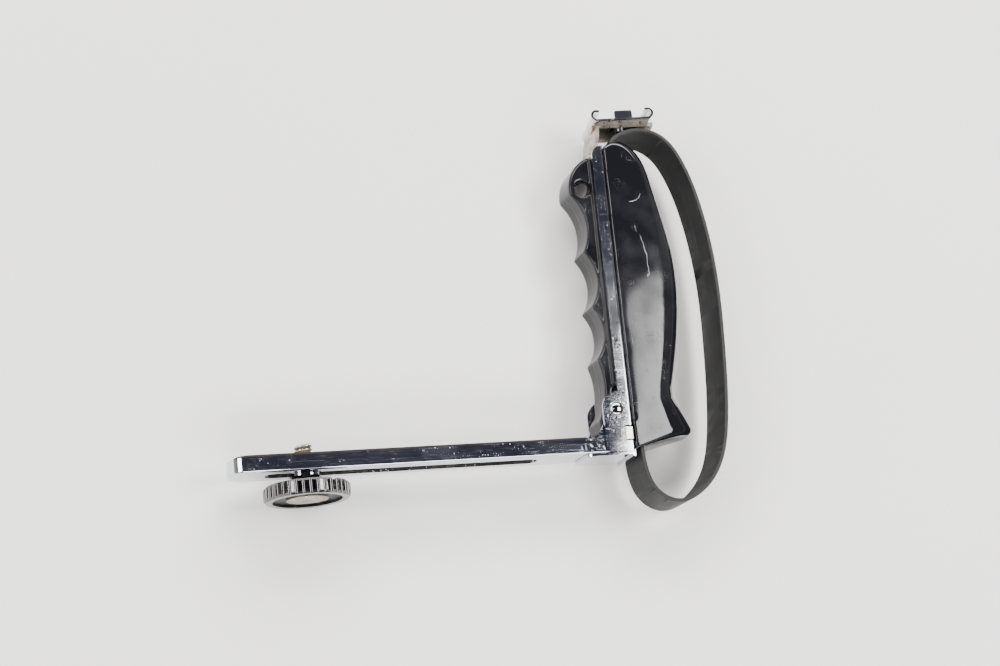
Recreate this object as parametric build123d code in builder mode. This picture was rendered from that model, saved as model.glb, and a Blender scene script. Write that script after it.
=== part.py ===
"""Folding flash bracket: a camera bar with a captive camera screw, hinged to a pistol grip
that carries an accessory shoe and a hand strap.

Frame: the bracket lies on its side. The origin is on the camera screw's axis at the pad's
surface. +X runs along the bar to the fold pivot, +Y up the camera screw, +Z along the pivot.
"""

import os
from math import cos, radians, sin, sqrt

from build123d import *

os.makedirs("parts", exist_ok=True)

# ---------------------------------------------------------------- driving dimensions, mm
sheet = 1.0               # pressed steel of the bar and the handle channel
gap = 0.1                 # clearance of parts that rest on or slide along each other
running = 0.06            # radial clearance of a turning fit

pivot_x = 112.0           # camera screw to fold pivot, along the bar
pivot_y = 9.1             # fold pivot above the pad's surface
lean = 1.45               # the grip leans back from square to the bar, degrees

bar_tip = -26.6           # the bar's free end
bar_half = 8.0            # half the bar's width
bar_top = -1.05           # top of the bar's walls, below the pad's surface
bar_bottom = -6.35        # underside of the bar
tip_radius = 7.0
slot_start = -14.0        # the bar's long slot, end to end
slot_end = 83.0
slot_width = 6.8

channel_half = 9.2        # half the handle channel's width
channel_back = 5.8        # rear face of the web, behind the pivot
channel_front = 1.2       # front edge of the flanges
channel_top = 101.0
strap_x = 8.5             # the strap's ends lie in slots this far behind the pivot
strap_half = 8.9
strap_thick = 1.3
palm_half = 10.0          # half the rear grip's thickness
finger_half = 6.8         # half the front grip's thickness
shoe_x = 14.65            # middle of the shoe, behind the pivot
shoe_floor = 111.7        # the shoe's inner floor, above the pivot
shoe_near = 10.5          # the shoe's end with the stop tab, from the middle plane
shoe_length = 20.5
shoe_yaw = 8.0            # the shoe is turned about the grip's length, degrees
shoe_tilt = 2.5           # its far end is lower, degrees
lock_half = 9.35          # half the lock bar's length
pin_radius = 2.0
neck_radius = 2.5         # plain neck of the camera screw
thread_radius = 3.175     # 1/4 inch camera thread
thread_top = 3.6          # how far the screw stands above the pad
knob_radius = 14.9

# ---------------------------------------------------------------- working planes
tilt = radians(lean)
grip = Plane(origin=(pivot_x, pivot_y, 0), x_dir=(cos(tilt), -sin(tilt), 0), z_dir=(0, 0, 1))
grip_up = Axis(grip.origin, grip.y_dir)
grip_back = Axis(grip.origin, grip.x_dir)


def facing_back(x, y, z=0.0):
    """Plane at a point of the grip's own frame, with its normal towards the grip's rear."""
    return Plane(origin=grip.from_local_coords((x, y, z)), x_dir=grip.y_dir, z_dir=grip.x_dir)


def facing_up(x, y, z=0.0):
    """Plane at a point of the grip's own frame, with its normal up the grip."""
    return Plane(origin=grip.from_local_coords((x, y, z)), x_dir=grip.x_dir, z_dir=grip.y_dir)


def level(y):
    """Plane square to the camera screw, with its normal up the screw and X along the bar."""
    return Plane(origin=(0, y, 0), x_dir=(1, 0, 0), z_dir=(0, 1, 0))


def save(piece, name):
    piece.part.label = name
    export_step(piece.part, f"parts/{name}.step")


# ---------------------------------------------------------------- handle channel
# One steel pressing: a web behind, two flanges that widen into hinge ears, and a foot bent
# forward under the bar, which stops the bar when it is open.
web_front = channel_back - sheet
ear_front = -5.0
ear_bottom = -15.4
ear_shoulder = 7.0
notch_front = 2.4         # the lock bar's notch, cut into the ears from behind
notch_low = -11.6
notch_high = -5.9
foot_front = pivot_x - 12.9
foot_back = pivot_x + 4.9
foot_half = 8.6

with BuildPart() as handle_channel:
    with BuildSketch(grip):
        with BuildLine():
            Polyline(
                (channel_front + 2.6, channel_top - 0.4),
                (channel_back, channel_top),
                (channel_back, ear_bottom),
                (ear_front + 1.5, ear_bottom),
                (ear_front, ear_bottom + 1.9),
                (ear_front, 1.4),
            )
            ThreePointArc((ear_front, 1.4), (-3.0, 5.1), (channel_front, ear_shoulder))
            Line((channel_front, ear_shoulder), (channel_front, channel_top - 4.8))
            ThreePointArc(
                (channel_front, channel_top - 4.8),
                (channel_front + 0.7, channel_top - 2.0),
                (channel_front + 2.6, channel_top - 0.4),
            )
        make_face()
    extrude(amount=channel_half, both=True)
    with BuildSketch(grip):
        with Locations((web_front - 15, 45)):
            Rectangle(30, 140)
    extrude(amount=channel_half - sheet, both=True, mode=Mode.SUBTRACT)
    fillet(handle_channel.edges().filter_by(grip_up).sort_by(grip_back)[-2:], 1.2)
    with BuildSketch(grip):
        with Locations((channel_back - sheet / 2, ear_bottom - 0.5)):
            Rectangle(sheet, 2.4)
    extrude(amount=foot_half, both=True)
    with BuildSketch(level(bar_bottom - gap)) as foot:
        with Locations(((foot_front + foot_back) / 2, 0)):
            Rectangle(foot_back - foot_front, 2 * foot_half)
        fillet(foot.vertices().group_by(Axis.X)[0], 4.0)
    extrude(amount=-sheet)
    with BuildSketch(grip):
        with Locations((notch_front + 5, (notch_low + notch_high) / 2)):
            Rectangle(10, notch_high - notch_low)
    extrude(amount=2 * channel_half, both=True, mode=Mode.SUBTRACT)
    with BuildSketch(grip):
        Circle(pin_radius)
    extrude(amount=channel_half, both=True, mode=Mode.SUBTRACT)
save(handle_channel, "handle_channel")

# ---------------------------------------------------------------- front grip
# A moulding held between the flanges, with hollows for the fingers and a cross hole near its
# top. Its lower end is a narrow tongue that passes in front of the hinge.
crests = [(-8.0, 82.4), (-4.9, 60.2), (-4.0, 39.2), (-4.1, 19.3), (-5.6, -3.6)]
hollow_depths = (3.7, 3.7, 3.7, 2.45)
tongue_end = -8.0         # the tongue stops just above the pad
cord_hole = (-3.0, 84.6)
cord_hole_radius = 3.1
insert_heights = (62.0, 23.0)
insert_radius = 2.4

with BuildPart() as finger_grip:
    with BuildSketch(grip):
        with BuildLine():
            for upper, lower, depth in zip(crests, crests[1:], hollow_depths):
                middle = ((upper[0] + lower[0]) / 2 + depth, (upper[1] + lower[1]) / 2)
                ThreePointArc(upper, middle, lower)
            Polyline(
                crests[-1],
                (-5.2, tongue_end),
                (-3.3, tongue_end),
                (-2.9, 0.0),
                (-2.2, 2.6),
                (-0.4, 5.4),
                (channel_front - 0.2, 8.2),
                (channel_front - 0.2, 97.4),
            )
            ThreePointArc((channel_front - 0.2, 97.4), (-5.6, 92.4), crests[0])
        make_face()
    extrude(amount=finger_half, both=True)
    fillet(finger_grip.edges().filter_by(grip_up, reverse=True).filter_by(GeomType.CIRCLE), 0.9)
    with BuildSketch(grip):
        with Locations((channel_front - 0.2, 53)):
            Rectangle(1.4, 87)
        with Locations((3.0, 46)):
            Rectangle(3.4, 73)
    extrude(amount=channel_half - sheet - gap, both=True)
    with BuildSketch(grip):
        with Locations(cord_hole):
            Circle(cord_hole_radius)
    extrude(amount=2 * finger_half, both=True, mode=Mode.SUBTRACT)
    for height in insert_heights:
        with BuildSketch(facing_back(0.3, height)):
            Circle(insert_radius)
        extrude(amount=6, mode=Mode.SUBTRACT)
save(finger_grip, "finger_grip")

with BuildPart() as grip_inserts:
    for height in insert_heights:
        with BuildSketch(facing_back(0.3, height)):
            Circle(insert_radius)
            Circle(1.5, mode=Mode.SUBTRACT)
        extrude(amount=4.3)
save(grip_inserts, "grip_inserts")

# ---------------------------------------------------------------- rear grip
# A moulding that fills the palm, round at its back and flared at the heel. Slots in it take
# the strap's ends, and two deep holes take the grip's screws.
palm_front = channel_back + 0.05
palm_low = (palm_front, -14.9)
palm_high = (palm_front, 100.2)
palm_rim = [
    (9.4, 104.1), (16.6, 103.3), (21.7, 98.6), (26.1, 85.0),
    (30.2, 66.5), (31.4, 46.5), (28.6, 24.5), (24.9, 8.6),
]
palm_face = [
    (8.4, 101.6), (13.6, 100.6), (17.6, 95.8), (20.6, 84.5),
    (23.3, 66.5), (23.8, 46.5), (20.9, 26.0), (17.4, 8.6),
]
heel_rim = [(25.0, 5.0), (31.3, -7.4), (29.6, -9.4)]
heel_face = [(17.0, 4.0), (20.0, -8.6), (19.2, -9.8)]
palm_levels = [(0.0, 0.0), (5.0, 0.13), (8.5, 0.47), (palm_half, 1.0)]
slot_depth = 19.0         # how far each strap end runs into the grip
slot_mouth = [(7.75, 95.0), (9.4, 95.0), (9.7, 98.6), (11.2, 102.4), (14.2, 105.2), (7.75, 105.2)]
strap_ends = (93.0, 1.0)  # heights of the screws that hold the strap's ends
head_seat = 17.0          # the grip screws' heads seat this far behind the pivot
head_radius = 2.8
pocket_radius = 3.6


def between(outer, inner, share):
    """Points that lie a share of the way from one outline to the other."""
    return [
        (a[0] + (b[0] - a[0]) * share, a[1] + (b[1] - a[1]) * share) for a, b in zip(outer, inner)
    ]


with BuildPart() as palm_grip:
    for height, share in palm_levels:
        with BuildSketch(grip.offset(height)):
            with BuildLine():
                back = between(palm_rim, palm_face, share)
                heel = between(heel_rim, heel_face, share)
                Polyline(back[-1], *heel, palm_low, palm_high, back[0])
                Spline(*back)
            make_face()
    loft(ruled=True)
    mirror(about=grip)
    for end, depth in ((palm_rim[0][1] + 1, -slot_depth - 1), (palm_low[1] - 1, slot_depth + 1)):
        with BuildSketch(facing_up(strap_x, end)):
            Rectangle(strap_thick + 2 * gap, 2 * strap_half + 2 * gap)
        extrude(amount=depth, mode=Mode.SUBTRACT)
    with BuildSketch(grip):
        with BuildLine():
            Polyline(*slot_mouth, close=True)
        make_face()
    extrude(amount=strap_half + gap, both=True, mode=Mode.SUBTRACT)
    for height in strap_ends:
        with BuildSketch(facing_back(palm_front - 0.1, height)):
            Circle(pocket_radius)
        extrude(amount=strap_x - palm_front, mode=Mode.SUBTRACT)
        with BuildSketch(facing_back(strap_x, height)):
            Circle(1.1)
        extrude(amount=7, mode=Mode.SUBTRACT)
    for height in insert_heights:
        with BuildSketch(facing_back(head_seat, height)):
            Circle(head_radius + 0.3)
        extrude(amount=20, mode=Mode.SUBTRACT)
        with BuildSketch(facing_back(0, height)):
            Circle(1.7)
        extrude(amount=20, mode=Mode.SUBTRACT)
    with BuildSketch(grip):
        with Locations((palm_front + 0.6, (notch_low + notch_high) / 2)):
            Rectangle(1.3, notch_high - notch_low + 0.4)
    extrude(amount=lock_half + 0.15, both=True, mode=Mode.SUBTRACT)
save(palm_grip, "palm_grip")

# The screws pass through the rear grip and the web into the front grip's inserts.
with BuildPart() as grip_screws:
    for height in insert_heights:
        with BuildSketch(facing_back(0.6, height)):
            Circle(1.5)
        extrude(amount=head_seat - 0.6)
        with BuildSketch(facing_back(head_seat, height)) as head:
            Circle(head_radius)
            Rectangle(2 * head_radius, 0.8, mode=Mode.SUBTRACT)
        extrude(amount=1.8)
        with BuildSketch(facing_back(head_seat, height)):
            Circle(head_radius)
        extrude(amount=0.8)
save(grip_screws, "grip_screws")

# The web has a clearance hole for each screw.
with handle_channel:
    for height in insert_heights:
        with BuildSketch(facing_back(0, height)):
            Circle(1.7)
        extrude(amount=10, mode=Mode.SUBTRACT)

# ---------------------------------------------------------------- hand strap
# A moulded rubber band. Each end lies in a slot of the rear grip, held by a screw and washer.
strap_tail_top = palm_rim[0][1] - slot_depth + 0.6
strap_tail_low = palm_low[1] + slot_depth - 0.6
strap_route = Spline(
    (strap_x, 96.5), (strap_x, 99.0), (9.9, 103.1), (14.6, 106.3), (22.0, 107.7), (30.0, 104.9),
    (36.9, 95.0), (42.2, 76.5), (45.1, 50.0), (44.7, 25.0), (42.4, -3.0), (37.7, -20.4),
    (29.3, -30.4), (19.8, -33.6), (12.5, -29.6), (9.2, -22.0), (strap_x, -15.5), (strap_x, -13.0),
)


def beside(curve, distance, count=56):
    """Points spaced evenly along a curve and set off to its right by a distance."""
    shares = [i / (count - 1) for i in range(count)]
    right = [Vector((curve % s).Y, -(curve % s).X) * distance for s in shares]
    return [(curve @ s) + step for s, step in zip(shares, right)]


with BuildPart() as hand_strap:
    with BuildSketch(grip):
        with BuildLine():
            inner = beside(strap_route, strap_thick / 2)
            outer = beside(strap_route, -strap_thick / 2)
            Spline(*inner)
            Spline(*outer)
            for end, tail in ((0, strap_tail_top), (-1, strap_tail_low)):
                Polyline(inner[end], (inner[end].X, tail), (outer[end].X, tail), outer[end])
        make_face()
    extrude(amount=strap_half, both=True)
    for height in strap_ends:
        with BuildSketch(facing_back(0, height)):
            Circle(1.1)
        extrude(amount=12, mode=Mode.SUBTRACT)
save(hand_strap, "hand_strap")

strap_front = strap_x - strap_thick / 2
washer_thick = 0.4
with BuildPart() as strap_washers:
    for height in strap_ends:
        with BuildSketch(facing_back(strap_front - washer_thick, height)):
            Circle(3.2)
            Circle(1.1, mode=Mode.SUBTRACT)
        extrude(amount=washer_thick)
save(strap_washers, "strap_washers")

with BuildPart() as strap_screws:
    for height in strap_ends:
        with BuildSketch(facing_back(strap_front - washer_thick - 1.1, height)):
            Circle(2.2)
        extrude(amount=1.1)
        with BuildSketch(facing_back(strap_front - washer_thick, height)):
            Circle(1.1)
        extrude(amount=7)
save(strap_screws, "strap_screws")

# ---------------------------------------------------------------- accessory shoe
# An L-shaped bracket is riveted inside the channel's top, and the shoe is riveted on it. The
# shoe is one piece of sheet with its sides curled inward and a tab bent up as a stop. It is
# level with the bar, and turned a little on its bracket.
bracket_thick = 1.5
bracket_half = 6.8
bracket_foot = 86.0
leg_top = 109.7
shoe_sheet = 0.8
bracket_rivet_heights = (90.0, 99.2)
shoe_rivet_depths = (-7.2, -14.2)
yaw = radians(shoe_yaw)
droop = radians(shoe_tilt)
shoe = Plane(
    origin=grip.from_local_coords((shoe_x, shoe_floor, shoe_near)),
    x_dir=(cos(yaw), 0, sin(yaw)),
    z_dir=(-sin(yaw) * cos(droop), sin(droop), cos(yaw) * cos(droop)),
)
plate_under = -shoe_sheet - bracket_thick


def shoe_up(height, depth=0.0):
    """Plane square to the shoe's floor at a height above it and a depth in from its near end."""
    return Plane(
        origin=shoe.from_local_coords((0, height, depth)), x_dir=shoe.x_dir, z_dir=shoe.y_dir
    )


with BuildPart() as shoe_bracket:
    with BuildSketch(grip):
        with BuildLine():
            Polyline(
                (web_front - bracket_thick, bracket_foot),
                (web_front, bracket_foot),
                (web_front, channel_top + gap),
                (6.4, leg_top),
                (4.9, leg_top),
                (web_front - bracket_thick, channel_top + 0.2),
                close=True,
            )
        make_face()
    extrude(amount=bracket_half, both=True)
    with BuildSketch(shoe.offset(bracket_half - shoe_near)):
        with Locations((0.3, -shoe_sheet - bracket_thick / 2)):
            Rectangle(23.4, bracket_thick)
    extrude(amount=-2 * bracket_half)
    for height in bracket_rivet_heights:
        with BuildSketch(facing_back(0, height)):
            Circle(1.3)
        extrude(amount=8, mode=Mode.SUBTRACT)
    for depth in shoe_rivet_depths:
        with BuildSketch(shoe_up(0, depth)):
            Circle(1.2)
        extrude(amount=-4, mode=Mode.SUBTRACT)
save(shoe_bracket, "shoe_bracket")

with handle_channel:
    for height in bracket_rivet_heights:
        with BuildSketch(facing_back(0, height)):
            Circle(1.3)
        extrude(amount=8, mode=Mode.SUBTRACT)
save(handle_channel, "handle_channel")

with BuildPart() as bracket_rivets:
    for height in bracket_rivet_heights:
        with BuildSketch(facing_back(web_front - bracket_thick, height)):
            Circle(1.3)
        extrude(amount=bracket_thick + sheet)
        with BuildSketch(facing_back(web_front - bracket_thick - 0.5, height)):
            Circle(2.1)
        extrude(amount=0.5)
save(bracket_rivets, "bracket_rivets")

with BuildPart() as accessory_shoe:
    with BuildSketch(shoe):
        with BuildLine():
            middle = -shoe_sheet / 2
            Line((-10.2, middle), (10.2, middle))
            for side in (-1, 1):
                Line((side * 10.2, middle), (side * 10.8, middle + 0.5))
                ThreePointArc(
                    (side * 10.8, middle + 0.5),
                    (side * 11.5, middle + 2.5),
                    (side * 10.2, middle + 3.7),
                )
                Line((side * 10.2, middle + 3.7), (side * 8.7, middle + 3.6))
        trace(line_width=shoe_sheet)
    extrude(amount=-shoe_length)
    with BuildSketch(shoe) as stop:
        with Locations((0.3, 1.3)):
            Rectangle(6.8, 3.4)
        fillet(stop.vertices().group_by(Axis.Y)[-1], 0.7)
    extrude(amount=-shoe_sheet)
    for depth in shoe_rivet_depths:
        with BuildSketch(shoe_up(0, depth)):
            Circle(1.2)
        extrude(amount=-2, mode=Mode.SUBTRACT)
save(accessory_shoe, "accessory_shoe")

with BuildPart() as shoe_rivets:
    for depth in shoe_rivet_depths:
        with BuildSketch(shoe_up(0, depth)):
            Circle(1.2)
        extrude(amount=plate_under)
        with BuildSketch(shoe_up(plate_under, depth)):
            Circle(1.9)
        extrude(amount=-0.6)
save(shoe_rivets, "shoe_rivets")

# ---------------------------------------------------------------- fold joint
# A rivet with a dome at each end passes through the handle's ears and the bar's ears, with a
# washer under each dome and a spacer tube between the bar's ears.
washer_half = channel_half + 0.3
dome_radius = 2.65
dome_height = 1.35

with BuildPart() as hinge_pin:
    with BuildSketch(grip):
        Circle(pin_radius)
    extrude(amount=washer_half, both=True)
    for side, way in ((washer_half, 1), (-washer_half, -1)):
        with BuildSketch(grip.offset(side)):
            Circle(dome_radius)
        extrude(amount=way * dome_height)
    flats = hinge_pin.faces().sort_by(Axis.Z)
    fillet(flats[0].edges() + flats[-1].edges(), dome_height - 0.1)
save(hinge_pin, "hinge_pin")

with BuildPart() as hinge_washers:
    for side in (channel_half, -washer_half):
        with BuildSketch(grip.offset(side)):
            Circle(3.2)
            Circle(pin_radius, mode=Mode.SUBTRACT)
        extrude(amount=washer_half - channel_half)
save(hinge_washers, "hinge_washers")

with BuildPart() as hinge_spacer:
    with BuildSketch(grip):
        Circle(2.5)
        Circle(pin_radius + running, mode=Mode.SUBTRACT)
    extrude(amount=bar_half - sheet - gap, both=True)
save(hinge_spacer, "hinge_spacer")

# ---------------------------------------------------------------- lock
# A square bar lies across the ears' notches. Two small springs in its back press it forward
# against the bar's ears.
lock_front = 2.6
lock_back = 5.5
lock_low = -11.2
lock_high = -6.4
lock_spring_z = (-5.0, 5.0)
lock_spring_seat = palm_front + 1.2
lock_bore_depth = 2.2

with BuildPart() as lock_bar:
    with BuildSketch(grip):
        with Locations(((lock_front + lock_back) / 2, (lock_low + lock_high) / 2)):
            Rectangle(lock_back - lock_front, lock_high - lock_low)
    extrude(amount=lock_half, both=True)
    chamfer(lock_bar.faces().filter_by(Axis.Z).edges(), 0.25)
    for z in lock_spring_z:
        with BuildSketch(facing_back(lock_back - lock_bore_depth, (lock_low + lock_high) / 2, z)):
            Circle(1.1)
        extrude(amount=4, mode=Mode.SUBTRACT)
save(lock_bar, "lock_bar")

with BuildPart() as lock_springs:
    for z in lock_spring_z:
        with BuildSketch(facing_back(lock_back - lock_bore_depth, (lock_low + lock_high) / 2, z)):
            Circle(0.95)
            Circle(0.65, mode=Mode.SUBTRACT)
        extrude(amount=lock_spring_seat - lock_back + lock_bore_depth)
save(lock_springs, "lock_springs")

# ---------------------------------------------------------------- camera bar
# A pressed tray with a round tip and a long slot. At the pivot its walls rise into two ears,
# which turn between the handle's ears.
wall_height = bar_top - bar_bottom
ear_radius = 4.3
ear_back = 3.5
swing_radius = pivot_y - bar_bottom

with BuildPart() as camera_bar:
    with BuildSketch(level(bar_bottom)) as bar_plan:
        with Locations(((bar_tip + pivot_x) / 2, 0)):
            Rectangle(pivot_x - bar_tip, 2 * bar_half)
        fillet(bar_plan.vertices().group_by(Axis.X)[0], tip_radius)
    extrude(amount=wall_height)
    fillet(camera_bar.faces().sort_by(Axis.Y)[0].edges().sort_by(Axis.X)[:-1], 0.9)
    with BuildSketch(level(bar_bottom + sheet)) as inside_plan:
        with Locations(((bar_tip + sheet + pivot_x + 1) / 2, 0)):
            Rectangle(pivot_x + 1 - bar_tip - sheet, 2 * (bar_half - sheet))
        fillet(inside_plan.vertices().group_by(Axis.X)[0], tip_radius - sheet)
    extrude(amount=wall_height, mode=Mode.SUBTRACT)
    for side in (bar_half - sheet, -bar_half):
        with BuildSketch(Plane((pivot_x, pivot_y, side))):
            with BuildLine():
                Polyline((-14.0, bar_bottom + 0.5 - pivot_y), (-14.0, bar_top - pivot_y), (-11.4, bar_top - pivot_y))
                ThreePointArc((-11.4, bar_top - pivot_y), (-7.0, -7.9), (-4.9, -3.6))
                Line((-4.9, -3.6), (-ear_radius, 0))
                ThreePointArc((-ear_radius, 0), (0, ear_radius), (ear_back, sqrt(ear_radius**2 - ear_back**2)))
                Polyline(
                    (ear_back, sqrt(ear_radius**2 - ear_back**2)),
                    (ear_back, -5.2),
                    (notch_front - 0.3, -5.2),
                    (notch_front - 0.3, notch_low - 0.1),
                    (ear_back, notch_low - 0.1),
                    (ear_back, -sqrt(swing_radius**2 - ear_back**2)),
                )
                RadiusArc((ear_back, -sqrt(swing_radius**2 - ear_back**2)), (0, -swing_radius), swing_radius)
                Polyline((0, -swing_radius), (-0.5, bar_bottom + 0.5 - pivot_y), (-14.0, bar_bottom + 0.5 - pivot_y))
            make_face()
        extrude(amount=sheet)
    with BuildSketch(grip):
        Circle(pin_radius + running)
    extrude(amount=bar_half, both=True, mode=Mode.SUBTRACT)
    with BuildSketch(level(bar_bottom - 1)):
        with Locations(((slot_start + slot_end) / 2, 0)):
            SlotOverall(slot_end - slot_start, slot_width)
    extrude(amount=3, mode=Mode.SUBTRACT)
save(camera_bar, "camera_bar")

pad_thick = -bar_bottom - sheet
pad_tip = bar_tip + 2.0
pad_end = pivot_x - 11.1
pad_half = bar_half - sheet - 0.05
pad_slot_width = 9.2
with BuildPart() as bar_pad:
    with BuildSketch(level(0)) as pad_plan:
        with Locations(((pad_tip + pad_end) / 2, 0)):
            Rectangle(pad_end - pad_tip, 2 * pad_half)
        fillet(pad_plan.vertices().group_by(Axis.X)[0], 5.0)
        with Locations(((slot_start + slot_end) / 2, 0)):
            SlotOverall(slot_end - slot_start + 4.4, pad_slot_width, mode=Mode.SUBTRACT)
    extrude(amount=-pad_thick)
save(bar_pad, "bar_pad")

# ---------------------------------------------------------------- screw carriage
# A plate above the slot and a flanged bush below it slide along the slot together and carry
# the camera screw.
bush_top = bar_bottom + sheet + 0.05
plate_thick = 1.2
flange_top = bar_bottom - gap
flange_thick = 1.0

with BuildPart() as retaining_plate:
    with BuildSketch(level(bush_top)):
        SlotOverall(10, 8.6)
        Circle(neck_radius + running, mode=Mode.SUBTRACT)
    extrude(amount=plate_thick)
save(retaining_plate, "retaining_plate")

with BuildPart() as guide_bush:
    with BuildSketch(level(flange_top)):
        Circle(slot_width / 2 - 0.15)
    extrude(amount=bush_top - flange_top)
    with BuildSketch(level(flange_top)):
        Circle(5.6)
    extrude(amount=-flange_thick)
    with BuildSketch(level(0)):
        Circle(neck_radius + running)
    extrude(amount=-20, mode=Mode.SUBTRACT)
save(guide_bush, "guide_bush")

# ---------------------------------------------------------------- camera screw and knob
knob_low = -15.5
knob_high = -10.3
recess_radius = 12.0
recess_floor = knob_low + 1.4
neck_top = flange_top - flange_thick - gap
thread_low = bush_top + plate_thick + gap
ribs = 38

with BuildPart() as camera_screw:
    with BuildSketch():
        with BuildLine():
            Polyline(
                (0, recess_floor),
                (neck_radius, recess_floor),
                (neck_radius, thread_low),
                (thread_radius, thread_low),
                (thread_radius, thread_top - 0.4),
                (thread_radius - 0.5, thread_top),
                (0, thread_top),
                close=True,
            )
        make_face()
    revolve(axis=Axis.Y)
save(camera_screw, "camera_screw")

with BuildPart() as knob_body:
    with BuildSketch():
        with BuildLine():
            Polyline(
                (neck_radius, recess_floor),
                (recess_radius, recess_floor),
                (recess_radius, knob_low),
                (knob_radius - 0.8, knob_low),
                (knob_radius, knob_low + 0.8),
                (knob_radius, knob_high - 0.8),
                (knob_radius - 0.8, knob_high),
                (6.4, knob_high),
                (4.8, neck_top),
                (neck_radius, neck_top),
                close=True,
            )
        make_face()
    revolve(axis=Axis.Y)
    with BuildSketch(level(knob_low - 1)):
        with PolarLocations(knob_radius + 0.1, ribs):
            Circle(0.7)
    extrude(amount=knob_high - knob_low + 2, mode=Mode.SUBTRACT)
save(knob_body, "knob_body")

with BuildPart() as knob_recess:
    with BuildSketch(level(recess_floor)):
        Circle(recess_radius - 0.02)
    extrude(amount=-0.4)
save(knob_recess, "knob_recess")

with BuildPart() as knob_disc:
    with BuildSketch(level(recess_floor - 0.4)):
        Circle(7.2)
    extrude(amount=-0.7)
save(knob_disc, "knob_disc")
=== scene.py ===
from math import cos, pi, radians, sin

import bpy
from mathutils import Matrix, Vector


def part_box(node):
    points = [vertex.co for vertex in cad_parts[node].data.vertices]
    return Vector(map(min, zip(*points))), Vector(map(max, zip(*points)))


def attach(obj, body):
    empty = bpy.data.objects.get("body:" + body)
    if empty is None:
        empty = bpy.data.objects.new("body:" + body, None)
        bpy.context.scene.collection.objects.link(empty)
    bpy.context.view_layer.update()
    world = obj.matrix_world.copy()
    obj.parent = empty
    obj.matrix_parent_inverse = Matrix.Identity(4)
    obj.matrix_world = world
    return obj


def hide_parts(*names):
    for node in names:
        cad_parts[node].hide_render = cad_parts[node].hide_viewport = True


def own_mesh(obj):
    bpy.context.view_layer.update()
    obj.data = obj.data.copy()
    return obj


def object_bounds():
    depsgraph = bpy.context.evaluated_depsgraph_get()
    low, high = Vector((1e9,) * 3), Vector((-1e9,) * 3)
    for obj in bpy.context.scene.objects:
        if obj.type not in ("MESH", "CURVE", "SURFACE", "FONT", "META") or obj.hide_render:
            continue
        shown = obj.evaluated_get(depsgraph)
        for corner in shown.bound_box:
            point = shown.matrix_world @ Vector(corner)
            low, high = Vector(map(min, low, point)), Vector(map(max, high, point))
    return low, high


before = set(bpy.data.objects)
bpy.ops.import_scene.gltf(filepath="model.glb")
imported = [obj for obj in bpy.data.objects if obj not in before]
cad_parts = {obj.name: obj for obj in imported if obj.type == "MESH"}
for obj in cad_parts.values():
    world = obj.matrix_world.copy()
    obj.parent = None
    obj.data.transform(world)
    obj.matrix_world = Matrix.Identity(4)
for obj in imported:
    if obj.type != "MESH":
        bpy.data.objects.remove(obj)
cad_low, cad_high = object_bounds()

# Camera. A long lens looks down at the bracket from above the bar's free end, a little to the
# left of the grip, so the bar's near wall, the grip's near face and the knob's rim all show.
camera = bpy.data.cameras.new("camera")
camera.lens = 64.8
camera.sensor_width = 36.0
camera.clip_start = 0.02
camera.clip_end = 20.0
stand = bpy.data.objects.new("camera", camera)
bpy.context.collection.objects.link(stand)
across = Vector((0.956196, -0.112469, 0.270261))
upward = Vector((0.033563, 0.959280, 0.280455))
towards = Vector((-0.290798, -0.259099, 0.921034))
eye = Vector((-0.113374, -0.126575, 0.596650))
turn = Matrix((across, upward, towards)).transposed().to_4x4()
stand.matrix_world = Matrix.Translation(eye) @ turn
bpy.context.scene.camera = stand


# Backdrop. A plain off-white cloth lies flat under the bracket at its lowest point: the knob's rim
# rests on it, and the rear grip's side stands a little above it. Its weave is too fine to see as
# more than a faint unevenness.
class Flow:
    """A node's output, so that sums on a surface's values read as ordinary Python."""

    def __init__(self, finish, socket):
        self.finish = finish
        self.socket = socket

    def sum_with(self, operation, first, second):
        return self.finish.add("Math", {"operation": operation}, {0: first, 1: second})

    def __add__(self, other):
        return self.sum_with("ADD", self, other)

    def __radd__(self, other):
        return self.sum_with("ADD", other, self)

    def __sub__(self, other):
        return self.sum_with("SUBTRACT", self, other)

    def __rsub__(self, other):
        return self.sum_with("SUBTRACT", other, self)

    def __mul__(self, other):
        return self.sum_with("MULTIPLY", self, other)

    def __rmul__(self, other):
        return self.sum_with("MULTIPLY", other, self)


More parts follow.
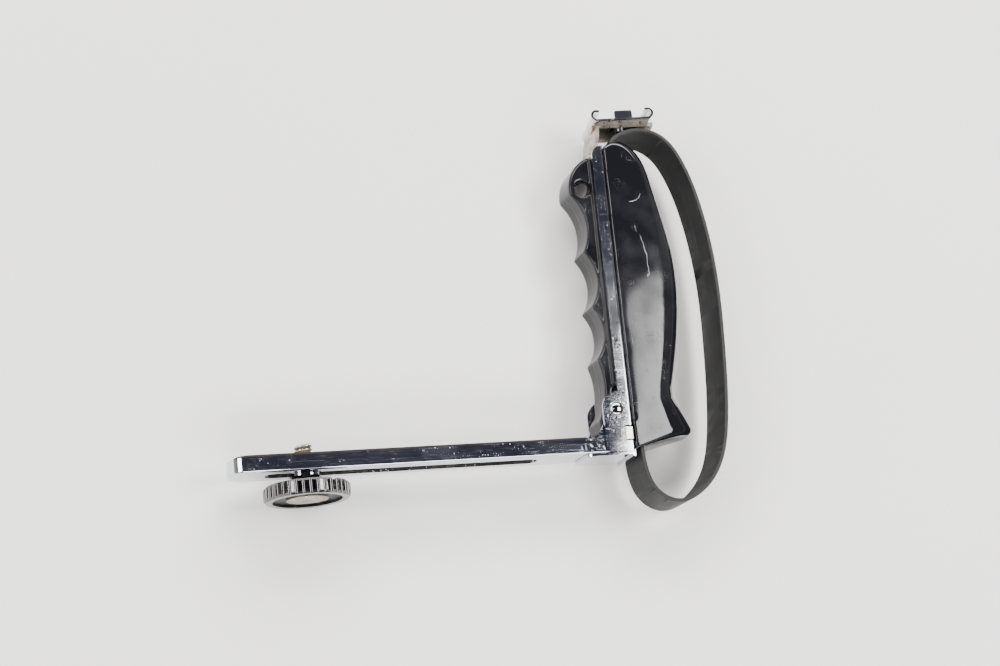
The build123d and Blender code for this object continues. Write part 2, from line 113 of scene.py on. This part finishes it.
class Finish:
    """A material under construction: every node it needs comes from add."""

    def __init__(self, title):
        self.material = bpy.data.materials.new(title)
        self.material.use_nodes = True
        self.tree = self.material.node_tree
        self.tree.nodes.clear()

    def add(self, kind, settings, values, output=0):
        node = self.tree.nodes.new("ShaderNode" + kind)
        for name, setting in settings.items():
            if name == "stops":
                ramp = node.color_ramp.elements
                while len(ramp) < len(setting):
                    ramp.new(0.5)
                for stop, (place, shade) in zip(ramp, setting):
                    stop.position = place
                    stop.color = (shade, shade, shade, 1)
            else:
                setattr(node, name, setting)
        for name, value in values.items():
            if isinstance(value, Flow):
                self.tree.links.new(value.socket, node.inputs[name])
            else:
                node.inputs[name].default_value = value
        return Flow(self, node.outputs[output])

    def place(self, stretch=(1, 1, 1), shift=(0, 0, 0), lean=0.0):
        own = self.add("TexCoord", {}, {}, "Object")
        spots = {"Vector": own, "Scale": stretch, "Location": shift, "Rotation": (0, 0, lean)}
        return self.add("Mapping", {}, spots)

    def noise(self, where, scale, detail=3.0):
        return self.add("TexNoise", {}, {"Vector": where, "Scale": scale, "Detail": detail})

    def band(self, value, stops):
        return self.add("ValToRGB", {"stops": stops}, {"Fac": value})

    def blend(self, share, first, second):
        colours = {0: share, 6: first, 7: second}
        return self.add("Mix", {"data_type": "RGBA"}, colours, 2)

    def relief(self, height, strength, depth, under=None):
        values = {"Height": height, "Strength": strength, "Distance": depth}
        if under is not None:
            values["Normal"] = under
        return self.add("Bump", {}, values)

    def done(self, values):
        shader = self.add("BsdfPrincipled", {}, values)
        end = self.tree.nodes.new("ShaderNodeOutputMaterial")
        self.tree.links.new(shader.socket, end.inputs["Surface"])
        return self.material


def clear_selection():
    for thing in list(bpy.context.selected_objects):
        thing.select_set(False)


def cloth_finish():
    cloth = Finish("backdrop_cloth")
    where = cloth.place()
    patches = cloth.noise(where, 9.0)
    threads = cloth.noise(cloth.place((1, 0.25, 1)), 2600.0)
    specks = cloth.band(cloth.add("TexVoronoi", {}, {"Vector": where, "Scale": 90.0}), [(0.0, 1), (0.035, 0)])
    tone = cloth.blend(patches, (0.91, 0.885, 0.86, 1), (0.87, 0.845, 0.815, 1))
    spotted = cloth.blend(specks * 0.35, tone, (0.50, 0.45, 0.38, 1))
    bumps = cloth.relief(threads, 0.25, 0.0002)
    return cloth.done({"Base Color": spotted, "Roughness": 0.95, "Normal": bumps})


clear_selection()
floor_height = cad_low.z
bpy.ops.mesh.primitive_plane_add(size=8, location=(0.06, 0.05, floor_height))
backdrop = bpy.context.object
backdrop.name = "backdrop"
backdrop.data.materials.append(cloth_finish())

# Lights. The key panel hangs flat on the right, where polished faces that look up mirror it.
# Three weaker panels stand outside what those faces mirror, and a small lamp hangs at the left.
for title, spot, width, height, power, spin in (
    ("key_panel", (0.7660, 0.0500, 1.0), 0.57, 0.53, 15.5, -10.0),
    ("far_panel", (0.25, 1.50, 1.15), 2.40, 1.00, 105.0, 0.0),
    ("left_panel", (-1.55, 0.25, 1.10), 1.10, 1.60, 62.0, 0.0),
    ("front_panel", (0.20, -1.35, 1.10), 2.20, 0.90, 60.0, 0.0),
    ("small_lamp", (-0.21, 0.12, 0.95), 0.06, 0.06, 0.4, 0.0),
):
    lamp = bpy.data.lights.new(title, "AREA")
    lamp.shape = "RECTANGLE"
    lamp.size = width
    lamp.size_y = height
    lamp.energy = power
    holder = bpy.data.objects.new(title, lamp)
    holder.matrix_world = Matrix.Translation(spot) @ Matrix.Rotation(radians(spin), 4, "Z")
    bpy.context.collection.objects.link(holder)

room = bpy.data.worlds.new("room")
bpy.context.scene.world = room
room.use_nodes = True
walls = room.node_tree
compass = walls.nodes.new("ShaderNodeTexCoord")
split = walls.nodes.new("ShaderNodeSeparateXYZ")
fade = walls.nodes.new("ShaderNodeValToRGB")
fade.color_ramp.elements[0].position = 0.20
fade.color_ramp.elements[0].color = (0.42, 0.41, 0.40, 1)
fade.color_ramp.elements[1].position = 0.62
fade.color_ramp.elements[1].color = (0.033, 0.036, 0.056, 1)
walls.links.new(compass.outputs["Generated"], split.inputs[0])
walls.links.new(split.outputs["Z"], fade.inputs["Fac"])
walls.links.new(fade.outputs["Color"], walls.nodes["Background"].inputs["Color"])

# Handle channel. One steel pressing, bent to a channel with hinge ears and a foot, then
# polished and chrome plated. Years of handling have left haze, pits and fine scratches.
def chrome_finish(title, wear=1.0, lean=0.0, tint=(0.72, 0.73, 0.76, 1)):
    plate = Finish(title)
    where = plate.place()
    cloud = plate.band(plate.noise(where, 70.0, 5.0), [(0.35, 0), (0.75, 1)])
    cells = plate.add("TexVoronoi", {}, {"Vector": where, "Scale": 850.0})
    pits = plate.band(cells, [(0.10, 1), (0.22, 0)])
    patchy = plate.band(plate.noise(where, 160.0), [(0.44, 0), (0.58, 1)])
    along = plate.noise(plate.place((60, 1400, 300), lean=lean), 1.0, 1.0)
    hairs = plate.band(along, [(0.490, 0), (0.499, 1), (0.501, 1), (0.510, 0)])
    steep = plate.noise(plate.place((1500, 130, 300), lean=lean + 0.5), 1.0, 1.0)
    nicks = plate.band(steep, [(0.494, 0), (0.499, 1), (0.501, 1), (0.506, 0)])
    marks = (pits * patchy + 0.30 * hairs + 0.5 * nicks * patchy) * wear
    rough = 0.035 + 0.035 * wear * cloud + 0.30 * marks
    tone = plate.blend(0.5 * marks, tint, (0.52, 0.50, 0.47, 1))
    wavy = plate.relief(plate.noise(where, 45.0, 1.0), 0.05, 0.0006)
    pitted = plate.relief(pits * patchy * wear, 0.06, 0.00003, wavy)
    bloom = 1 - (0.018 * cloud + 0.22 * marks) * wear
    return plate.done({"Base Color": tone, "Metallic": bloom, "Roughness": rough, "Normal": pitted})


def repaint(material, *nodes):
    for node in nodes:
        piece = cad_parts[node]
        piece.data.materials.clear()
        piece.data.materials.append(material)


repaint(chrome_finish("handle_chrome", 1.0, radians(88)), "handle_channel", "hinge_washers")

# Hinge rivet. A polished steel rivet with a dome at each end holds the bar between the
# handle's ears. A spacer tube inside the joint keeps the bar's own ears apart.
def take_copy(node, title):
    piece = bpy.data.objects.new(title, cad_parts[node].data.copy())
    bpy.context.collection.objects.link(piece)
    clear_selection()
    piece.select_set(True)
    bpy.context.view_layer.objects.active = piece
    piece.data.materials.clear()
    bpy.ops.object.mode_set(mode="EDIT")
    bpy.ops.mesh.select_all(action="SELECT")
    bpy.ops.mesh.remove_doubles(threshold=0.000002)
    bpy.ops.object.mode_set(mode="OBJECT")
    return piece


def shape_with(piece, kind, settings):
    modifier = piece.modifiers.new(kind.lower(), kind)
    for name, setting in settings.items():
        setattr(modifier, name, setting)
    bpy.ops.object.modifier_apply(modifier=modifier.name)


def finish_piece(piece, material, body, slot, *nodes):
    piece.data.materials.append(material)
    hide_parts(*nodes)
    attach(piece, body)


pin_low, pin_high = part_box("hinge_pin")
pin_middle = (pin_low + pin_high) / 2
shank_radius = 0.002
dome_height = 0.00135
dome_radius = (pin_high.x - pin_low.x) / 2
shank_half = pin_high.z - dome_height
clear_selection()
bpy.ops.mesh.primitive_cylinder_add(vertices=48, radius=shank_radius, depth=2 * shank_half, location=pin_middle)
rivet = bpy.context.object
rivet.name = "hinge_rivet"
domes = [rivet]
for side in (-1, 1):
    seat = (pin_middle.x, pin_middle.y, pin_middle.z + side * shank_half)
    bpy.ops.mesh.primitive_uv_sphere_add(segments=48, ring_count=32, radius=dome_radius, location=seat)
    dome = bpy.context.object
    dome.scale = (1, 1, dome_height / dome_radius)
    domes.append(dome)
for part in domes:
    part.select_set(True)
bpy.context.view_layer.objects.active = rivet
bpy.ops.object.transform_apply(location=True, rotation=True, scale=True)
bpy.ops.object.join()
bpy.ops.object.shade_smooth_by_angle(angle=radians(40))
rivet_chrome = chrome_finish("rivet_chrome", 0.3, 0.0, (0.42, 0.41, 0.38, 1))
finish_piece(rivet, rivet_chrome, "handle", "chromed_steel", "hinge_pin")


# Finger grip. Glossy black phenolic, moulded in one with four finger hollows and a hole for a
# cord. Handling has left a faint haze and a few fine scratches in its shine.
def moulding_finish(title, parting, gloss, spots=()):
    shell = Finish(title)
    where = shell.place()
    haze = shell.band(shell.noise(where, 55.0, 6.0), [(0.40, 0), (0.75, 1)])
    dust = shell.add("TexVoronoi", {}, {"Vector": where, "Scale": 420.0})
    specks = shell.band(dust, [(0.03, 1), (0.09, 0)])
    scuffed = shell.band(shell.noise(where, 130.0), [(0.58, 0), (0.68, 1)])
    fine = shell.noise(shell.place((1300, 90, 200), lean=0.25), 1.0, 1.0)
    scratches = shell.band(fine, [(0.494, 0), (0.499, 1), (0.501, 1), (0.506, 0)]) * scuffed
    other = shell.noise(shell.place((110, 1500, 200), lean=-0.5), 1.0, 1.0)
    crossing = shell.band(other, [(0.496, 0), (0.4995, 1), (0.5005, 1), (0.504, 0)]) * scuffed
    marks = 0.5 * scratches + 0.5 * crossing + 0.7 * specks * scuffed
    depth = shell.add("SeparateXYZ", {}, {"Vector": where}, 2)
    seam = shell.band(
        shell.add("Math", {"operation": "ABSOLUTE"}, {0: depth - parting}) * 1000,
        [(0.05, 1), (0.14, 0)],
    )
    stray = shell.add("TexNoise", {}, {"Vector": where, "Scale": 330.0, "Detail": 2.0}, 1)
    bent = {0: stray, 1: (0.0024, 0.0024, 0), 2: shell.place((1, 1, 1), (-0.0012, -0.0012, 0))}
    wander = shell.add("VectorMath", {"operation": "MULTIPLY_ADD"}, bent)
    for centre, radius, middle, reach in spots:
        off_ring = shell.add("VectorMath", {"operation": "DISTANCE"}, {0: wander, 1: centre}, 1) - radius
        ring = shell.band(shell.add("Math", {"operation": "ABSOLUTE"}, {0: off_ring}) * 1000, [(0.05, 1), (0.16, 0)])
        away = shell.add("VectorMath", {"operation": "DISTANCE"}, {0: where, 1: middle}, 1)
        near = shell.band(away * (1 / reach), [(0.7, 1), (1.0, 0)])
        marks = marks + 1.5 * ring * near
    marks = shell.band(marks, [(0.0, 0), (1.0, 1)])
    tone = shell.blend(0.40 * marks + 0.03 * haze + 0.12 * seam, (0.006, 0.006, 0.008, 1), (0.55, 0.55, 0.56, 1))
    rough = 0.07 + 0.10 * haze + 0.35 * marks + 0.2 * seam
    flow = shell.relief(shell.noise(where, 60.0, 1.0), 0.18, 0.0008)
    bumps = shell.relief(marks - seam, 0.25, 0.00005, flow)
    return shell.done({"Base Color": tone, "Roughness": rough, "Specular IOR Level": gloss, "Normal": bumps})


def soften(piece, grain, passes, crisp=()):
    shape_with(piece, "REMESH", {"mode": "VOXEL", "voxel_size": grain, "use_smooth_shade": True})
    loose = piece.vertex_groups.new(name="loose")
    for corner in piece.data.vertices:
        inside = crisp and all(low < at < high for low, at, high in zip(crisp[0], corner.co, crisp[1]))
        if not inside:
            loose.add([corner.index], 1.0, "REPLACE")
    shape_with(piece, "SMOOTH", {"factor": 0.5, "iterations": passes, "vertex_group": "loose"})
    piece.vertex_groups.clear()


fingers = take_copy("finger_grip", "finger_moulding")
soften(fingers, 0.0004, 14)
finish_piece(fingers, moulding_finish("finger_phenolic", 0.0, 0.24), "handle", "black_plastic", "finger_grip")


# Inserts. Two turned brass sleeves pressed into the finger grip take the long screws.
def plain_metal(title, light, dark, rough, scale=300.0):
    metal = Finish(title)
    where = metal.place()
    blotches = metal.band(metal.noise(where, scale, 5.0), [(0.35, 0), (0.70, 1)])
    grain = metal.noise(metal.place((200, 3000, 3000)), 1.0, 2.0)
    tone = metal.blend(blotches, light, dark)
    dull = rough + 0.22 * blotches + 0.08 * grain
    bumps = metal.relief(blotches + 0.5 * grain, 0.25, 0.00006)
    return metal.done({"Base Color": tone, "Metallic": 1.0, "Roughness": dull, "Normal": bumps})


repaint(plain_metal("turned_brass", (0.74, 0.56, 0.26, 1), (0.50, 0.36, 0.17, 1), 0.25), "grip_inserts")

# Palm grip. The rear moulding is the same black phenolic, rounded to the palm and flared at
# its heel. Its large near face shows a curved scratch and a long thin one.
palm = take_copy("palm_grip", "palm_moulding")
lock_low, lock_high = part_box("lock_bar")
pocket_margin = Vector((0.0030, 0.0018, 0.0010))
soften(palm, 0.00045, 26, (lock_low - pocket_margin, lock_high + pocket_margin))
palm_scratches = (
    ((0.1267, 0.0928, 0.0100), 0.0060, (0.1303, 0.0880, 0.0100), 0.0032),
    ((0.0953, 0.0640, 0.0100), 0.0360, (0.1311, 0.0661, 0.0100), 0.0085),
)
palm_phenolic = moulding_finish("palm_phenolic", 0.0, 0.50, palm_scratches)
finish_piece(palm, palm_phenolic, "handle", "black_plastic", "palm_grip")

# Grip screws and the strap's screws and washers. Nickel-plated steel, slotted where a driver
# reaches them, and dulled inside their holes.
screw_nickel = plain_metal("screw_nickel", (0.66, 0.63, 0.57, 1), (0.42, 0.39, 0.34, 1), 0.18)
repaint(screw_nickel, "grip_screws", "strap_screws", "strap_washers")


# Hand strap. A moulded band of dark rubber with softened edges. Its ends are screwed inside
# the palm grip's two slots. The faces are satin, with a painted sheen that lightens them along the edges.
strap_half = 0.0089
strap = take_copy("hand_strap", "rubber_strap")
bpy.ops.object.mode_set(mode="EDIT")
bpy.ops.mesh.select_all(action="SELECT")
bpy.ops.mesh.dissolve_limited(angle_limit=radians(0.5))
bpy.ops.object.mode_set(mode="OBJECT")
shape_with(strap, "BEVEL", {"width": 0.00032, "segments": 3, "limit_method": "ANGLE", "angle_limit": radians(50)})
bpy.ops.object.shade_smooth_by_angle(angle=radians(40))

rubber = Finish("strap_rubber")
spot = rubber.place()
height = rubber.add("SeparateXYZ", {}, {"Vector": spot}, 2)
outward = rubber.add("Math", {"operation": "ABSOLUTE"}, {0: height}) * (1 / strap_half)
# Painted sheen: the rubber is lightened along both edges of the strap, standing in for a highlight.
edge_sheen = rubber.band(outward, [(0.93, 0), (0.985, 1)])
groove = rubber.band(outward, [(0.83, 0), (0.85, 1), (0.87, 1), (0.89, 0)])
bloom = rubber.band(rubber.noise(spot, 60.0, 6.0), [(0.38, 0), (0.72, 1)])
pores = rubber.noise(rubber.place(), 1800.0, 2.0)
scuffs = rubber.band(rubber.noise(rubber.place((30, 30, 1100)), 1.0, 2.0), [(0.60, 0), (0.70, 1)])
rubber_tone = rubber.blend(
    0.30 * bloom + 0.30 * edge_sheen + 0.20 * scuffs,
    (0.008, 0.008, 0.009, 1),
    (0.052, 0.050, 0.048, 1),
)
rubber_bumps = rubber.relief(0.35 * pores + 0.4 * scuffs - groove, 0.35, 0.00012)
rubber_values = {
    "Base Color": rubber_tone,
    "Roughness": 0.50 + 0.20 * bloom,
    "Specular IOR Level": 0.22,
    "Normal": rubber_bumps,
}
finish_piece(strap, rubber.done(rubber_values), "handle", "strap_rubber", "hand_strap")

# Shoe bracket. A strip of nickelled steel bent to an L, riveted inside the channel's top. Its
# cut edges are rough and have yellowed.
bracket_nickel = plain_metal("bracket_nickel", (0.44, 0.41, 0.36, 1), (0.26, 0.20, 0.14, 1), 0.20, 420.0)
repaint(bracket_nickel, "shoe_bracket", "bracket_rivets", "hinge_spacer")

# Accessory shoe. Thin chromed sheet with both sides curled inward and a tab bent up as the
# flash unit's stop. Two rivets fix it to the bracket.
repaint(chrome_finish("shoe_chrome", 1.2, 0.3, (0.76, 0.76, 0.77, 1)), "accessory_shoe", "shoe_rivets")

# Lock. A nickelled cross bar drops into notches of the ears, pushed by two wire springs in
# the palm grip, and holds the bar open until it is pulled back.
repaint(plain_metal("lock_nickel", (0.80, 0.76, 0.67, 1), (0.62, 0.56, 0.46, 1), 0.16, 500.0), "lock_bar")

wire_radius = 0.00014
coil_radius = 0.00066
coil_turns = 5
springs_low, springs_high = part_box("lock_springs")
spring_length = springs_high.x - springs_low.x - 2 * wire_radius
coils = []
clear_selection()
for side in (-1, 1):
    bpy.ops.mesh.primitive_circle_add(vertices=8, radius=wire_radius, rotation=(pi / 2, 0, 0))
    coil = bpy.context.object
    bpy.ops.object.transform_apply(location=True, rotation=True, scale=True)
    for corner in coil.data.vertices:
        corner.co.x += coil_radius
    shape_with(coil, "SCREW", {
        "axis": "Z",
        "screw_offset": (spring_length - 0.0001) / coil_turns,
        "iterations": coil_turns,
        "steps": 24,
        "render_steps": 24,
    })
    coil.rotation_euler = (0, pi / 2, 0)
    coil.location = (
        springs_low.x + wire_radius + 0.00005,
        (springs_low.y + springs_high.y) / 2,
        side * 0.0050,
    )
    coils.append(coil)
for coil in coils:
    coil.select_set(True)
bpy.context.view_layer.objects.active = coils[0]
bpy.ops.object.transform_apply(location=True, rotation=True, scale=True)
bpy.ops.object.join()
coils = bpy.context.object
coils.name = "lock_coils"
bpy.ops.object.mode_set(mode="EDIT")
bpy.ops.mesh.select_mode(type="EDGE")
bpy.ops.mesh.select_all(action="DESELECT")
bpy.ops.mesh.select_non_manifold()
bpy.ops.mesh.edge_face_add()
bpy.ops.mesh.select_all(action="SELECT")
bpy.ops.mesh.normals_make_consistent(inside=False)
bpy.ops.object.mode_set(mode="OBJECT")
bpy.ops.object.shade_smooth_by_angle(angle=radians(50))
spring_wire = plain_metal("spring_wire", (0.50, 0.50, 0.51, 1), (0.34, 0.33, 0.32, 1), 0.30)
finish_piece(coils, spring_wire, "handle", "spring_steel", "lock_springs")
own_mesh(coils)

# Camera bar. A chromed steel tray with a rounded tip and a long slot. Its walls are clouded
# and finely pitted, with hairlines that run along it.
repaint(chrome_finish("bar_chrome", 1.2, radians(1.5), (0.62, 0.64, 0.70, 1)), "camera_bar")

# Bar pad. A strip of black rubber glued into the tray, on which the camera's base sits. Its
# edges are rounded and it has gone brown and matt with age.
pad = take_copy("bar_pad", "rubber_pad")
bpy.ops.object.mode_set(mode="EDIT")
bpy.ops.mesh.select_all(action="SELECT")
bpy.ops.mesh.dissolve_limited(angle_limit=radians(0.5))
bpy.ops.object.mode_set(mode="OBJECT")
shape_with(pad, "BEVEL", {"width": 0.00060, "segments": 4, "limit_method": "ANGLE", "angle_limit": radians(50)})
bpy.ops.object.shade_smooth_by_angle(angle=radians(40))
aged = Finish("pad_rubber")
spot = aged.place()
crust = aged.band(aged.noise(spot, 130.0, 6.0), [(0.38, 0), (0.70, 1)])
crumbs = aged.noise(aged.place(), 1500.0, 3.0)
pad_tone = aged.blend(crust, (0.010, 0.008, 0.007, 1), (0.040, 0.028, 0.021, 1))
pad_bumps = aged.relief(crumbs + 0.5 * crust, 0.5, 0.00015)
pad_values = {
    "Base Color": pad_tone,
    "Roughness": 0.62 + 0.2 * crust,
    "Specular IOR Level": 0.2,
    "Normal": pad_bumps,
}
finish_piece(pad, aged.done(pad_values), "arm", "pad_rubber", "bar_pad")

# Carriage. A nickelled plate above the slot and a flanged bush below it are swaged together,
# so that the camera screw slides along the bar and can't fall out.
repaint(screw_nickel, "retaining_plate")
repaint(chrome_finish("bush_chrome", 0.6, 0.0, (0.30, 0.30, 0.32, 1)), "guide_bush")

# Camera screw. A turned steel screw with a quarter-inch thread of twenty turns to the inch.
# The thread is one ridge swept round a core, and its grooves are painted dark as shade.
thread_pitch = 0.00127
ridge_depth = 0.00075
screw_low, screw_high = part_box("camera_screw")
core_radius = 0.003175 - ridge_depth
thread_start = screw_high.y - 0.0072
turns = 5
clear_selection()
bpy.ops.mesh.primitive_cylinder_add(
    vertices=48,
    radius=core_radius,
    depth=screw_high.y - screw_low.y,
    location=(0, (screw_high.y + screw_low.y) / 2, 0),
    rotation=(pi / 2, 0, 0),
)
core = bpy.context.object
core.name = "threaded_screw"
bpy.ops.object.transform_apply(location=True, rotation=True, scale=True)
shape_with(core, "BEVEL", {"width": 0.0004, "segments": 3, "limit_method": "ANGLE", "angle_limit": radians(50)})
bpy.ops.mesh.primitive_circle_add(vertices=4, radius=thread_pitch * 0.47, location=(0, 0, 0))
ridge = bpy.context.object
for corner, (out, up) in zip(ridge.data.vertices, ((0.0, 1), (1.0, 0.14), (1.0, -0.14), (0.0, -1))):
    reach = core_radius - 0.0001 + out * (ridge_depth + 0.0001)
    corner.co = (reach, 0, up * thread_pitch * 0.47)
shape_with(ridge, "SCREW", {
    "axis": "Z",
    "screw_offset": thread_pitch,
    "iterations": turns,
    "steps": 40,
    "render_steps": 40,
    "use_merge_vertices": False,
})
for corner in ridge.data.vertices:
    x, y, z = corner.co
    corner.co = (x, thread_start + thread_pitch / 2 + z, -y)
bpy.ops.object.mode_set(mode="EDIT")
bpy.ops.mesh.select_all(action="DESELECT")
bpy.ops.mesh.select_mode(type="EDGE")
bpy.ops.mesh.select_non_manifold()
bpy.ops.mesh.edge_face_add()
bpy.ops.mesh.select_all(action="SELECT")
bpy.ops.mesh.normals_make_consistent(inside=False)
bpy.ops.object.mode_set(mode="OBJECT")
clear_selection()
ridge.select_set(True)
core.select_set(True)
bpy.context.view_layer.objects.active = core
bpy.ops.object.join()
bpy.ops.object.shade_smooth_by_angle(angle=radians(40))

steel = Finish("screw_steel")
spot = steel.place()
from_axis = steel.add(
    "VectorMath",
    {"operation": "LENGTH"},
    {0: steel.place((1, 0, 1))},
    1,
)
# Painted shade: near the core, the thread's grooves turn dark brown, less metallic and rougher.
groove_shade = steel.band(from_axis * 1000 - 2.4, [(0.10, 1), (0.55, 0)])
stains = steel.band(steel.noise(spot, 500.0, 4.0), [(0.40, 0), (0.70, 1)])
steel_tone = steel.blend(0.8 * groove_shade + 0.2 * stains, (0.52, 0.47, 0.39, 1), (0.07, 0.045, 0.03, 1))
steel_bumps = steel.relief(stains, 0.2, 0.00005)
steel_values = {
    "Base Color": steel_tone,
    "Metallic": 1 - 0.6 * groove_shade,
    "Roughness": 0.20 + 0.35 * groove_shade + 0.15 * stains,
    "Normal": steel_bumps,
}
finish_piece(core, steel.done(steel_values), "knob", "nickel_steel", "camera_screw")

# Knob. A turned and coined steel wheel, chrome plated, with grip ribs round its rim. Its
# recess is lacquered black, and a nickelled disc covers the screw's riveted end.
# Painted dark reflection: the knob's chrome is tinted near black, far darker than plated steel.
repaint(chrome_finish("knob_chrome", 0.7, 0.0, (0.115, 0.107, 0.108, 1)), "knob_body")
lacquer = Finish("recess_lacquer")
spot = lacquer.place()
chips = lacquer.band(lacquer.noise(spot, 700.0, 5.0), [(0.64, 0), (0.70, 1)])
film = lacquer.noise(spot, 240.0, 4.0)
lacquer_tone = lacquer.blend(0.5 * chips, (0.012, 0.012, 0.013, 1), (0.34, 0.32, 0.30, 1))
lacquer_values = {
    "Base Color": lacquer_tone,
    "Roughness": 0.30 + 0.25 * film,
    "Specular IOR Level": 0.2,
    "Normal": lacquer.relief(film - chips, 0.3, 0.00008),
}
repaint(lacquer.done(lacquer_values), "knob_recess")
repaint(plain_metal("disc_nickel", (0.46, 0.42, 0.34, 1), (0.28, 0.22, 0.15, 1), 0.22, 350.0), "knob_disc")
